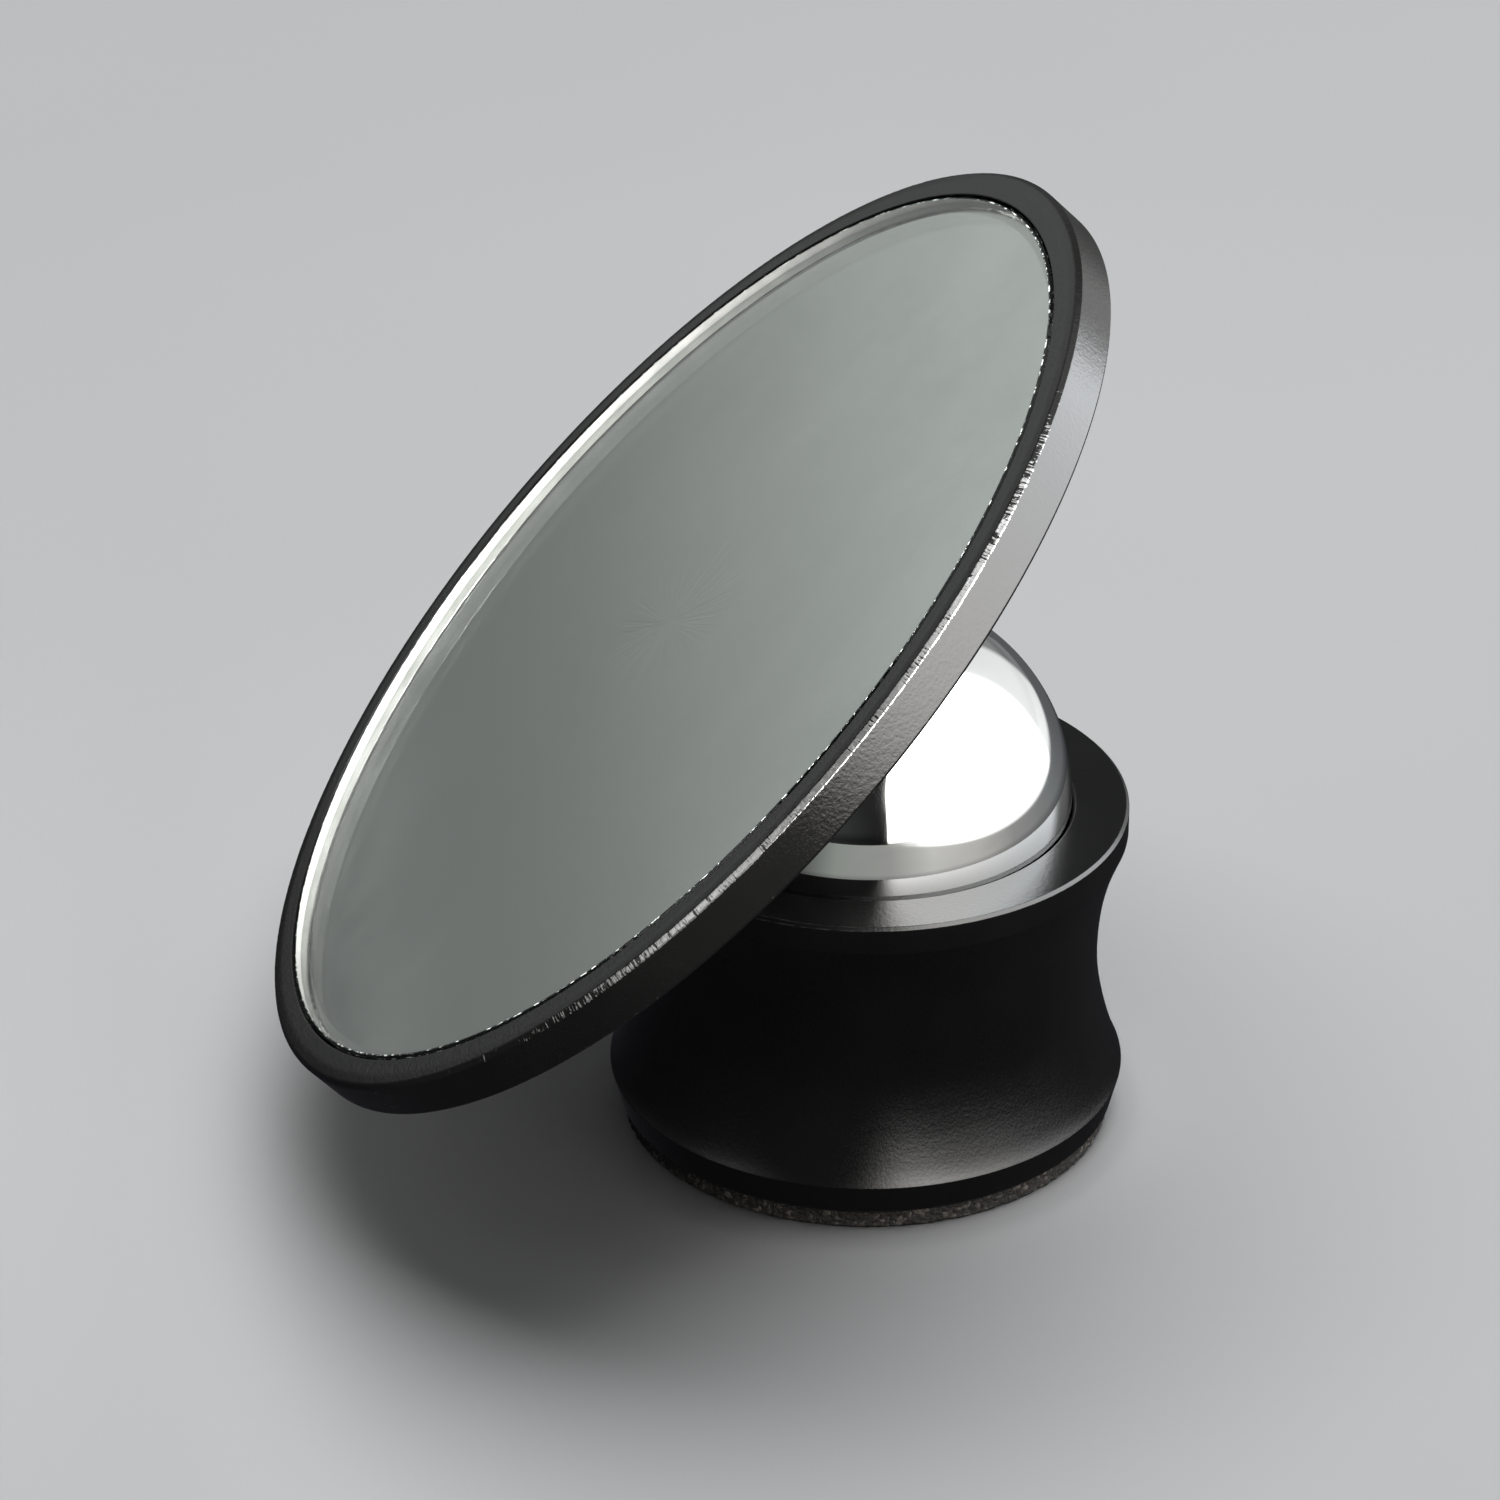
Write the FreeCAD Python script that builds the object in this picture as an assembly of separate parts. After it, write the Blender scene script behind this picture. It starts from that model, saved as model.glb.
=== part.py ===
import FreeCAD, Part
import math
import os

# Adjustable round mirror on a magnetic ball joint.
# Frame: origin at the centre of the pad's underside, +Z up the base's axis,
# the mirror faces -Y and up at the rest tilt. Millimetres.
# Every piece is turned from a profile of (radius, height) points about Z.

# ---- base: heights are Z
PAD_R = 15.2
PAD_T = 1.2
PAD_ROUND = 0.25
PAD_ADHESIVE_R = 14.8
PAD_ADHESIVE_T = 0.10
RECESS_R = PAD_ADHESIVE_R + 0.05
RECESS_Z = PAD_T + PAD_ADHESIVE_T
BAND_R = 15.5            # underside of the lower band, which flares to FLANGE_R
FLANGE_R = 16.0          # sharp edge above the band, and the upper rim
LOWER_EDGE_Z = 3.3
RIM_Z = 19.70            # underside of the upper rim's cylinder
TOP_Z = 21.5
TOP_CHAMFER = 0.25
FOOT_CHAMFER = 0.15
# (radius, z) of the waist, from the lower sharp edge to the upper rim
WAIST = [
    (FLANGE_R, LOWER_EDGE_Z),
    (15.77, 3.7), (15.60, 4.2), (15.43, 4.8), (15.21, 5.6), (14.97, 6.6),
    (14.66, 8.0), (14.37, 9.5), (14.30, 11.0), (14.34, 12.5), (14.45, 14.0),
    (14.67, 15.5), (15.02, 17.0), (15.33, 18.0), (15.71, 19.0),
    (FLANGE_R, RIM_Z),
]

# ---- ball, its seat and its screw
BALL_R = 12.5            # stock 25 mm ball
BALL_Z = 21.8            # ball centre
BALL_FLAT_R = 3.5
BALL_HOLE_R = 2.30
BALL_HOLE_TOP_Z = 18.3   # where the hole's conical end starts
HOLE_CONE_ANGLE = 31.0   # degrees above the horizontal
BORE_R = BALL_R + 0.05
BORE_CHAMFER = 0.20
CONE_CLEARANCE = 0.02    # between the ball and the 45 degree cone, square to the cone
SEAT_THROUGH_R = 2.75
COUNTERBORE_R = 4.8
COUNTERBORE_TOP_Z = 5.4
SCREW_R = 2.24           # M5, thread drawn at its mean diameter
SCREW_HEAD_R = 4.25
SCREW_HEAD_LOW_Z = 1.40
SCREW_HEAD_TOP_Z = 4.20
SCREW_HEAD_CHAMFER = 0.3
SCREW_TIP_Z = 17.2
SCREW_TIP_CHAMFER = 0.5
HEX_ACROSS_FLATS = 3.0
HEX_DEPTH = 1.6
CUT_OVERLAP = 0.01       # the hex cutter starts this far outside the head
WASHER_INNER_R = 2.6
WASHER_OUTER_R = 4.4

# ---- head: heights (_S) run from the ball's centre along the mirror's normal
REST_TILT = 45.0         # degrees
FRONT_S = 17.90
GLASS_T = 2.10
SILVER_T = 0.05
ADHESIVE_T = 0.15
DISH_T = 2.97
GLASS_BACK_S = FRONT_S - GLASS_T
SILVER_BACK_S = GLASS_BACK_S - SILVER_T
DISH_FLOOR_S = SILVER_BACK_S - ADHESIVE_T
DISH_BACK_S = FRONT_S - DISH_T
DISH_R = 34.35
BEZEL_CHAMFER = 0.35
BACK_CHAMFER = 0.20
POCKET_R = 32.40
GLASS_R = 32.28
GLASS_ARRIS = 0.22
ADHESIVE_OUTER_R = 31.5
ADHESIVE_INNER_R = 3.2
CUP_R = 6.90
CUP_RIM_S = 10.98        # the rim's inner corner clears the ball by 0.08
CUP_RIM_CHAMFER = 0.15
CUP_POCKET_R = 6.15
CUP_ROOF_S = DISH_BACK_S - 0.80
MAGNET_OUTER_R = 6.05
MAGNET_INNER_R = 2.60
MAGNET_FACE_R = 12.95    # concave face, concentric with the ball
LINER_INNER_SPHERE_R = 12.53
LINER_OUTER_SPHERE_R = 12.85
LINER_HOLE_R = 2.2
LINER_EDGE_R = 6.0
CUP_SCREW_HEAD_R = 2.30
CUP_SCREW_SHANK_R = 1.20
CUP_SCREW_TIP_S = 13.20
CUP_SCREW_TIP_CHAMFER = 0.3
# 45 degree countersink through the dish's floor and into the cup's roof
SINK_CLEARANCE = 0.05
SINK_TOP_R = CUP_SCREW_HEAD_R + SINK_CLEARANCE
SINK_BACK_R = SINK_TOP_R - (DISH_FLOOR_S - DISH_BACK_S)
SINK_HOLE_R = CUP_SCREW_SHANK_R + SINK_CLEARANCE
SINK_LOW_S = DISH_BACK_S - (SINK_BACK_R - SINK_HOLE_R)


# ---- helpers
def point(radius, height):
    return FreeCAD.Vector(radius, 0, height)


def lines(*points):
    """Straight edges joining (radius, height) points in turn."""
    return [Part.makeLine(point(*a), point(*b)) for a, b in zip(points, points[1:])]


def arc(start, middle, end):
    return Part.Arc(point(*start), point(*middle), point(*end)).toShape()


def on_sphere(sphere_r, radius):
    """Profile point on a sphere centred on the origin."""
    return (radius, math.sqrt(sphere_r ** 2 - radius ** 2))


def sphere_arc(sphere_r, start_r, end_r):
    return arc(*[on_sphere(sphere_r, r) for r in (start_r, 0.5 * (start_r + end_r), end_r)])


def turn(edges):
    """Revolve a closed profile once about Z."""
    face = Part.Face(Part.Wire(edges))
    solid = face.revolve(FreeCAD.Vector(0, 0, 0), FreeCAD.Vector(0, 0, 1), 360)
    if solid.Volume < 0:
        solid.reverse()
    return solid


def turn_polygon(*points):
    return turn(lines(*points, points[0]))


def disc(radius, thickness, low):
    return Part.makeCylinder(radius, thickness, FreeCAD.Vector(0, 0, low))


def on_head(shape):
    """Tilt a shape drawn about Z and move its origin to the ball's centre."""
    placed = shape.copy()
    placed.rotate(FreeCAD.Vector(0, 0, 0), FreeCAD.Vector(1, 0, 0), REST_TILT)
    placed.translate(FreeCAD.Vector(0, 0, BALL_Z))
    return placed


def save(name, shape):
    if len(shape.Solids) == 1:
        shape = shape.Solids[0]
    shape.exportStep("parts/%s.step" % name)


# ---- base pieces
def base_pad():
    """Disc with a rounded lower edge."""
    flat_r = PAD_R - PAD_ROUND
    diagonal = math.pi / 4
    middle = (flat_r + PAD_ROUND * math.sin(diagonal),
              PAD_ROUND - PAD_ROUND * math.cos(diagonal))
    return turn(
        lines((0, 0), (flat_r, 0))
        + [arc((flat_r, 0), middle, (PAD_R, PAD_ROUND))]
        + lines((PAD_R, PAD_ROUND), (PAD_R, PAD_T), (0, PAD_T), (0, 0)))


def base_body():
    """Waisted body with an adhesive recess below and the ball's seat above."""
    touch_r = BALL_R * math.sin(math.pi / 4)
    touch_z = BALL_Z - touch_r - CONE_CLEARANCE * math.sqrt(2)
    cone_top_z = touch_z + (BORE_R - touch_r)
    cone_low_z = touch_z - (touch_r - SEAT_THROUGH_R)
    waist = Part.BSplineCurve()
    waist.interpolate([point(*station) for station in WAIST])
    foot = lines(
        (COUNTERBORE_R, RECESS_Z), (RECESS_R, RECESS_Z), (RECESS_R, PAD_T),
        (BAND_R - FOOT_CHAMFER, PAD_T), (BAND_R, PAD_T + FOOT_CHAMFER), WAIST[0])
    rim_and_bore = lines(
        WAIST[-1], (FLANGE_R, TOP_Z - TOP_CHAMFER), (FLANGE_R - TOP_CHAMFER, TOP_Z),
        (BORE_R + BORE_CHAMFER, TOP_Z), (BORE_R, TOP_Z - BORE_CHAMFER),
        (BORE_R, cone_top_z), (SEAT_THROUGH_R, cone_low_z),
        (SEAT_THROUGH_R, COUNTERBORE_TOP_Z), (COUNTERBORE_R, COUNTERBORE_TOP_Z),
        (COUNTERBORE_R, RECESS_Z))
    return turn(foot + [waist.toShape()] + rim_and_bore)


def ball():
    """Ball with a flat and a screw hole on its underside."""
    flat_z = BALL_Z - math.sqrt(BALL_R ** 2 - BALL_FLAT_R ** 2)
    hole_tip_z = BALL_HOLE_TOP_Z + BALL_HOLE_R * math.tan(math.radians(HOLE_CONE_ANGLE))
    top = (0, BALL_Z + BALL_R)
    angle = math.radians(-10)    # any point between the arc's ends
    middle = (BALL_R * math.cos(angle), BALL_Z + BALL_R * math.sin(angle))
    return turn(
        lines((BALL_HOLE_R, flat_z), (BALL_FLAT_R, flat_z))
        + [arc((BALL_FLAT_R, flat_z), middle, top)]
        + lines(top, (0, hole_tip_z), (BALL_HOLE_R, BALL_HOLE_TOP_Z), (BALL_HOLE_R, flat_z)))


def ball_screw():
    """Low-head cap screw up through the base, with a hex socket."""
    low, top = SCREW_HEAD_LOW_Z, SCREW_HEAD_TOP_Z
    screw = turn_polygon(
        (0, low), (SCREW_HEAD_R - SCREW_HEAD_CHAMFER, low),
        (SCREW_HEAD_R, low + SCREW_HEAD_CHAMFER), (SCREW_HEAD_R, top), (SCREW_R, top),
        (SCREW_R, SCREW_TIP_Z - SCREW_TIP_CHAMFER),
        (SCREW_R - SCREW_TIP_CHAMFER, SCREW_TIP_Z), (0, SCREW_TIP_Z))
    corner_r = HEX_ACROSS_FLATS / math.sqrt(3)
    corners = []
    for i in range(6):
        angle = math.radians(60 * i)
        corners.append(FreeCAD.Vector(
            corner_r * math.cos(angle), corner_r * math.sin(angle), low - CUT_OVERLAP))
    hexagon = Part.Face(Part.makePolygon(corners + [corners[0]]))
    return screw.cut(hexagon.extrude(FreeCAD.Vector(0, 0, HEX_DEPTH + CUT_OVERLAP)))


def ring(inner_r, outer_r, low, top):
    return turn_polygon((inner_r, low), (outer_r, low), (outer_r, top), (inner_r, top))


# ---- head pieces, drawn about Z with the ball's centre at the origin
def mirror_glass():
    inset_r = GLASS_R - GLASS_ARRIS
    return turn_polygon(
        (0, GLASS_BACK_S), (inset_r, GLASS_BACK_S), (GLASS_R, GLASS_BACK_S + GLASS_ARRIS),
        (GLASS_R, FRONT_S - GLASS_ARRIS), (inset_r, FRONT_S), (0, FRONT_S))


def mirror_dish():
    return turn_polygon(
        (SINK_TOP_R, DISH_FLOOR_S), (SINK_BACK_R, DISH_BACK_S),
        (DISH_R - BACK_CHAMFER, DISH_BACK_S), (DISH_R, DISH_BACK_S + BACK_CHAMFER),
        (DISH_R, FRONT_S - BEZEL_CHAMFER), (DISH_R - BEZEL_CHAMFER, FRONT_S),
        (POCKET_R, FRONT_S), (POCKET_R, DISH_FLOOR_S))


def magnet_cup():
    return turn_polygon(
        (SINK_HOLE_R, CUP_ROOF_S), (CUP_POCKET_R, CUP_ROOF_S), (CUP_POCKET_R, CUP_RIM_S),
        (CUP_R - CUP_RIM_CHAMFER, CUP_RIM_S), (CUP_R, CUP_RIM_S + CUP_RIM_CHAMFER),
        (CUP_R, DISH_BACK_S), (SINK_BACK_R, DISH_BACK_S), (SINK_HOLE_R, SINK_LOW_S))


def head_magnet():
    """Ring magnet with a concave face towards the ball."""
    inner, outer = MAGNET_INNER_R, MAGNET_OUTER_R
    return turn(
        lines((inner, CUP_ROOF_S), (outer, CUP_ROOF_S), on_sphere(MAGNET_FACE_R, outer))
        + [sphere_arc(MAGNET_FACE_R, outer, inner)]
        + lines(on_sphere(MAGNET_FACE_R, inner), (inner, CUP_ROOF_S)))


def socket_liner():
    """Thin spherical ring between the ball and the magnet."""
    near, far = LINER_INNER_SPHERE_R, LINER_OUTER_SPHERE_R
    hole, edge = LINER_HOLE_R, LINER_EDGE_R
    return turn(
        [sphere_arc(near, hole, edge)]
        + lines(on_sphere(near, edge), on_sphere(far, edge))
        + [sphere_arc(far, edge, hole)]
        + lines(on_sphere(far, hole), on_sphere(near, hole)))


def cup_screw():
    """Countersunk screw, head flush with the dish's floor."""
    head, shank = CUP_SCREW_HEAD_R, CUP_SCREW_SHANK_R
    return turn_polygon(
        (0, DISH_FLOOR_S), (head, DISH_FLOOR_S), (shank, DISH_FLOOR_S - (head - shank)),
        (shank, CUP_SCREW_TIP_S + CUP_SCREW_TIP_CHAMFER),
        (shank - CUP_SCREW_TIP_CHAMFER, CUP_SCREW_TIP_S), (0, CUP_SCREW_TIP_S))


os.makedirs("parts", exist_ok=True)

save("base_pad", base_pad())
save("pad_adhesive", disc(PAD_ADHESIVE_R, PAD_ADHESIVE_T, PAD_T))
save("base_body", base_body())
save("ball", ball())
save("ball_screw", ball_screw())
save("ball_washer", ring(WASHER_INNER_R, WASHER_OUTER_R, SCREW_HEAD_TOP_Z, COUNTERBORE_TOP_Z))

HEAD = {
    "mirror_glass": mirror_glass(),
    "mirror_silvering": disc(GLASS_R - GLASS_ARRIS, SILVER_T, SILVER_BACK_S),
    "mirror_adhesive": ring(ADHESIVE_INNER_R, ADHESIVE_OUTER_R, DISH_FLOOR_S, SILVER_BACK_S),
    "mirror_dish": mirror_dish(),
    "magnet_cup": magnet_cup(),
    "head_magnet": head_magnet(),
    "socket_liner": socket_liner(),
    "cup_screw": cup_screw(),
}
for name, shape in HEAD.items():
    save(name, on_head(shape))
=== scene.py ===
"""A round mirror on a ball joint, built in metres with +Z up.

The base stands on z = 0 with its axis on Z and holds a polished ball. The head (cup, dish and
glass) is turned about its own axis through the ball's centre, tilted 45 degrees so that the
mirror faces up and towards -Y. The camera looks from the +X side.
"""
import bpy
import bmesh
import math
import random
from collections import namedtuple

import numpy as np
from mathutils import Matrix, Vector, noise


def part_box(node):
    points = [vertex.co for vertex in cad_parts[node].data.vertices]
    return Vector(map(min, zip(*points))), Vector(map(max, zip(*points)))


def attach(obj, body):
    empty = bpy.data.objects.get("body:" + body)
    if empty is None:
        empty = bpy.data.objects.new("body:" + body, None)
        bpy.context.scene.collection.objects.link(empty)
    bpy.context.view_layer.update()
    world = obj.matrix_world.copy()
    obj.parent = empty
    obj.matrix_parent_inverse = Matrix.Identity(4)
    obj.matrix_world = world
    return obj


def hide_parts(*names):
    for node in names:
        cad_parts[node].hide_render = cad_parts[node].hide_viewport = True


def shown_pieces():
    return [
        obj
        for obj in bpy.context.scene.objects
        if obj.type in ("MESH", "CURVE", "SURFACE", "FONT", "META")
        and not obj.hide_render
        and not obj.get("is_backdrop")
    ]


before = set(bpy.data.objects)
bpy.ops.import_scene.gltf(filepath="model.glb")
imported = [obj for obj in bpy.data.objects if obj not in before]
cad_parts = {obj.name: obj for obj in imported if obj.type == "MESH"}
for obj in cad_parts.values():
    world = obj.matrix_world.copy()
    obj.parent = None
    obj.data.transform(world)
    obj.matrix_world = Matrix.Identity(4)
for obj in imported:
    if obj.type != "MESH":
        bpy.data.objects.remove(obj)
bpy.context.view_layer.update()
scene = bpy.context.scene
random.seed(7)

MM = 0.001

# ------------------------------------------------- sizes read off the designed pieces
_, base_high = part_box("base_body")
pad_low, pad_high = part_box("base_pad")
ball_low, ball_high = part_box("ball")
FLANGE_R = base_high.x
BASE_TOP = base_high.z
PAD_R = pad_high.x
PAD_TOP = pad_high.z
BALL_R = 0.5 * (ball_high.x - ball_low.x)
BALL_CENTRE = Vector((0, 0, ball_high.z - BALL_R))
TILT = math.radians(45)
HEAD = Matrix.Translation(BALL_CENTRE) @ Matrix.Rotation(TILT, 4, "X")
HEAD_INVERSE = HEAD.inverted()


def head_span(node):
    """Largest radius, lowest and highest place of a head piece along the head's axis."""
    points = [HEAD_INVERSE @ vertex.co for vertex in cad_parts[node].data.vertices]
    heights = [point.z for point in points]
    return max(math.hypot(point.x, point.y) for point in points), min(heights), max(heights)


DISH_R, DISH_BACK, FRONT = head_span("mirror_dish")
GLASS_R, GLASS_BACK, _ = head_span("mirror_glass")
_, SILVER_BACK, SILVER_FRONT = head_span("mirror_silvering")
CUP_R, CUP_RIM, _ = head_span("magnet_cup")
_, _, DISH_FLOOR = head_span("cup_screw")


# ------------------------------------------------------------------ turning
# A row of an outline is (radius, height, fillet, wear, fillet steps, smooth). Wear runs from 0
# to 1 and smooth marks the points of a curve; all but the first two may be left out.
Corner = namedtuple("Corner", "radius height fillet wear steps smooth",
                    defaults=(0.0, 0.0, 5, False))


def on_curve(points, wear=0.0):
    return [(radius, height, 0.0, wear, 0, True) for radius, height in points]


def round_corners(corners, closed):
    """Turns corners into (place, wear, smooth) points, with arcs for the fillets."""
    points = []
    count = len(corners)
    for i, corner in enumerate(corners):
        place = Vector(corner[:2])
        if corner.fillet <= 0 or (not closed and i in (0, count - 1)):
            points.append((place, corner.wear, corner.smooth))
            continue
        before = Vector(corners[i - 1][:2])
        after = Vector(corners[(i + 1) % count][:2])
        back, ahead = (before - place).normalized(), (after - place).normalized()
        half = math.acos(max(-1, min(1, back.dot(ahead)))) / 2
        reach = corner.fillet / math.tan(half)
        reach = min(reach, 0.45 * (before - place).length, 0.45 * (after - place).length)
        radius = reach * math.tan(half)
        centre = place + (back + ahead).normalized() * (radius / math.sin(half))
        start = math.atan2(*(place + back * reach - centre).yx)
        end = math.atan2(*(place + ahead * reach - centre).yx)
        sweep = (end - start + math.pi) % (2 * math.pi) - math.pi
        for k in range(corner.steps + 1):
            angle = start + sweep * k / corner.steps
            full_wear = 0 < k < corner.steps or corner.wear >= 0.95
            points.append((centre + Vector((math.cos(angle), math.sin(angle))) * radius,
                           corner.wear if full_wear else 0.4 * corner.wear, False))
    return points


def guard_flats(points, closed, gap):
    """Adds holding points beside each corner, so a flat stays flat up to its rounded edge."""
    guarded = []
    count = len(points)
    for i, (start, start_wear, start_smooth) in enumerate(points):
        guarded.append(points[i])
        if i == count - 1 and not closed:
            break
        end, end_wear, end_smooth = points[(i + 1) % count]
        length = (end - start).length
        if length > 4 * gap and not (start_smooth and end_smooth):
            wear = min(start_wear, end_wear)
            if wear <= 0.38 or length >= 0.0008:
                wear = 0.0
            guarded.append((start.lerp(end, gap / length), wear, False))
            guarded.append((start.lerp(end, 1 - gap / length), wear, False))
    return guarded


def split_lines(points, closed, longest):
    """Adds unworn points along the long straight stretches."""
    split = []
    count = len(points)
    for i in range(count if closed else count - 1):
        start, end = points[i][0], points[(i + 1) % count][0]
        split.append(points[i])
        extra = int((end - start).length // longest)
        for j in range(1, extra + 1):
            split.append((start.lerp(end, j / (extra + 1)), 0.0, False))
    if not closed:
        split.append(points[-1])
    return split


def add_lay(mesh, coords):
    """Stores a place on the turning direction, so that grain follows it without a seam."""
    radii = np.hypot(coords[:, 0], coords[:, 1])
    largest = max(radii)
    safe = np.maximum(radii, 1e-9)
    lay = np.stack([coords[:, 0] / safe * largest, coords[:, 1] / safe * largest,
                    coords[:, 2] * 0.25], 1)
    attribute = mesh.attributes.new("lay", "FLOAT_VECTOR", "POINT")
    attribute.data.foreach_set("vector", lay.astype(np.float32).ravel())


def shift_points(mesh, coords, shift):
    """Moves each vertex by shift(point, radius), which gives metres (outward, up)."""
    for point, radius in zip(coords, np.hypot(coords[:, 0], coords[:, 1])):
        if radius > 0:
            outward, up = shift(point, radius)
            point[:2] *= 1 + outward / radius
            point[2] += up
    mesh.vertices.foreach_set("co", coords.astype(np.float32).ravel())


def lathe(name, outline, segments, closed, longest, gap=0.00004, matrix=None, shift=None,
          flats=True):
    """Turns an outline about Z. An open outline runs from axis to axis."""
    points = round_corners([Corner(*row) for row in outline], closed)
    points = split_lines(guard_flats(points, closed, gap), closed, longest)
    verts, faces, wear, rings = [], [], [], []
    for place, worn, _ in points:
        first = len(verts)
        if place.x < 1e-7:
            verts.append((0.0, 0.0, place.y))
        else:
            for k in range(segments):
                angle = 2 * math.pi * k / segments
                verts.append((place.x * math.cos(angle), place.x * math.sin(angle), place.y))
        rings.append(range(first, len(verts)))
        wear += [worn] * len(rings[-1])
    count = len(rings)
    for i in range(count if closed else count - 1):
        low, high = rings[i], rings[(i + 1) % count]
        if len(low) == 1 and len(high) == 1:
            continue
        for k in range(segments):
            following = (k + 1) % segments
            if len(low) == 1:
                faces.append((low[0], high[k], high[following]))
            elif len(high) == 1:
                faces.append((low[k], high[0], low[following]))
            else:
                faces.append((low[k], high[k], high[following], low[following]))
    mesh = bpy.data.meshes.new(name)
    mesh.from_pydata(verts, [], faces)
    attribute = mesh.attributes.new("wear", "FLOAT", "POINT")
    attribute.data.foreach_set("value", np.array(wear, np.float32))
    coords = np.array(verts, float)
    add_lay(mesh, coords)
    if shift:
        shift_points(mesh, coords, shift)
    bm = bmesh.new()
    bm.from_mesh(mesh)
    bmesh.ops.recalc_face_normals(bm, faces=bm.faces)
    bm.to_mesh(mesh)
    bm.free()
    if matrix is not None:
        mesh.transform(matrix)
    mesh.shade_smooth()
    piece = bpy.data.objects.new(name, mesh)
    scene.collection.objects.link(piece)
    if flats:
        modifier = piece.modifiers.new("flats", "WEIGHTED_NORMAL")
        modifier.mode = "FACE_AREA"
        modifier.weight = 100
        modifier.keep_sharp = False
    return piece


# ---------------------------------------------------------------- node trees
class Nodes:
    """Builds the node tree of a material, light or world."""

    def __init__(self, owner, output):
        owner.use_nodes = True
        self.owner = owner
        self.tree = owner.node_tree
        self.tree.nodes.clear()
        self.output = self.node(output)

    def node(self, kind, **settings):
        node = self.tree.nodes.new(kind)
        for key, value in settings.items():
            setattr(node, key, value)
        return node

    def put(self, socket, value):
        """Fills an input with another node's output, a number or an rgb colour."""
        if isinstance(value, bpy.types.NodeSocket):
            self.tree.links.new(value, socket)
        else:
            socket.default_value = (*value, 1) if isinstance(value, tuple) else value

    def make(self, kind, output=0, settings=None, **inputs):
        """Adds a node, fills its inputs (underscores for spaces) and gives one output."""
        node = self.node(kind, **(settings or {}))
        for key, value in inputs.items():
            self.put(node.inputs[key.replace("_", " ")], value)
        return node.outputs[output]

    def combine(self, kind, *values, **settings):
        """Adds a node whose first inputs are filled in order."""
        node = self.node(kind, **settings)
        for socket, value in zip(node.inputs, values):
            self.put(socket, value)
        return node.outputs[0]

    def maths(self, operation, a, b, clamp=False):
        return self.combine("ShaderNodeMath", a, b, operation=operation, use_clamp=clamp)

    def add(self, a, b):
        return self.maths("ADD", a, b)

    def times(self, a, by, clamp=False):
        return self.maths("MULTIPLY", a, by, clamp)

    def invert(self, value):
        return self.maths("SUBTRACT", 1.0, value)

    def vector_maths(self, operation, a, b):
        return self.combine("ShaderNodeVectorMath", a, b, operation=operation)

    def axes(self, vector):
        node = self.node("ShaderNodeSeparateXYZ")
        self.put(node.inputs[0], vector)
        return node.outputs

    def remap(self, value, span, to=(0.0, 1.0)):
        return self.make("ShaderNodeMapRange", Value=value, From_Min=span[0], From_Max=span[1],
                         To_Min=to[0], To_Max=to[1])

    def ramp(self, value, stops):
        """Colour by a value from 0 to 1; stops are (position, rgb)."""
        node = self.node("ShaderNodeValToRGB")
        elements = node.color_ramp.elements
        while len(elements) < len(stops):
            elements.new(0.5)
        for i, (position, colour) in enumerate(stops):
            elements[i].position = position
            elements[i].color = (*colour, 1)
        self.put(node.inputs["Fac"], value)
        return node.outputs["Color"]

    def curve(self, value, stops):
        """Piecewise-linear colour by a value; stops are (value, grey or rgb)."""
        low, high = stops[0][0], stops[-1][0]
        return self.ramp(self.remap(value, span=(low, high)),
                         [((x - low) / (high - low), level if isinstance(level, tuple)
                           else (level,) * 3) for x, level in stops])

    def mix(self, factor, low, high):
        node = self.node("ShaderNodeMix", data_type="RGBA")
        for index, value in ((0, factor), (6, low), (7, high)):
            self.put(node.inputs[index], value)
        return node.outputs[2]

    def mix_shader(self, factor, low, high):
        return self.combine("ShaderNodeMixShader", factor, low, high)

    def principled(self, **inputs):
        return self.make("ShaderNodeBsdfPrincipled", **inputs)

    def finish(self, shader):
        self.put(self.output.inputs["Surface"], shader)
        return self.owner


class Material(Nodes):
    """A material whose textures lie in object space."""

    def __init__(self, name):
        super().__init__(bpy.data.materials.new(name), "ShaderNodeOutputMaterial")
        self.place = self.node("ShaderNodeTexCoord").outputs["Object"]

    def noise(self, scale, detail=3.0, rough=0.6, distortion=0.0, place=None):
        return self.make("ShaderNodeTexNoise", "Fac", Vector=place or self.place, Scale=scale,
                         Detail=detail, Roughness=rough, Distortion=distortion)

    def voronoi(self, scale, feature="F1", output="Distance"):
        return self.make("ShaderNodeTexVoronoi", output, {"feature": feature},
                         Vector=self.place, Scale=scale)

    def bump(self, height, strength, distance):
        return self.make("ShaderNodeBump", Strength=strength, Distance=distance, Height=height)

    def attribute(self, name, output="Fac"):
        return self.node("ShaderNodeAttribute", attribute_name=name).outputs[output]


def shade(colour, by, lift=0.0):
    return tuple(part * by + lift for part in colour)


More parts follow.
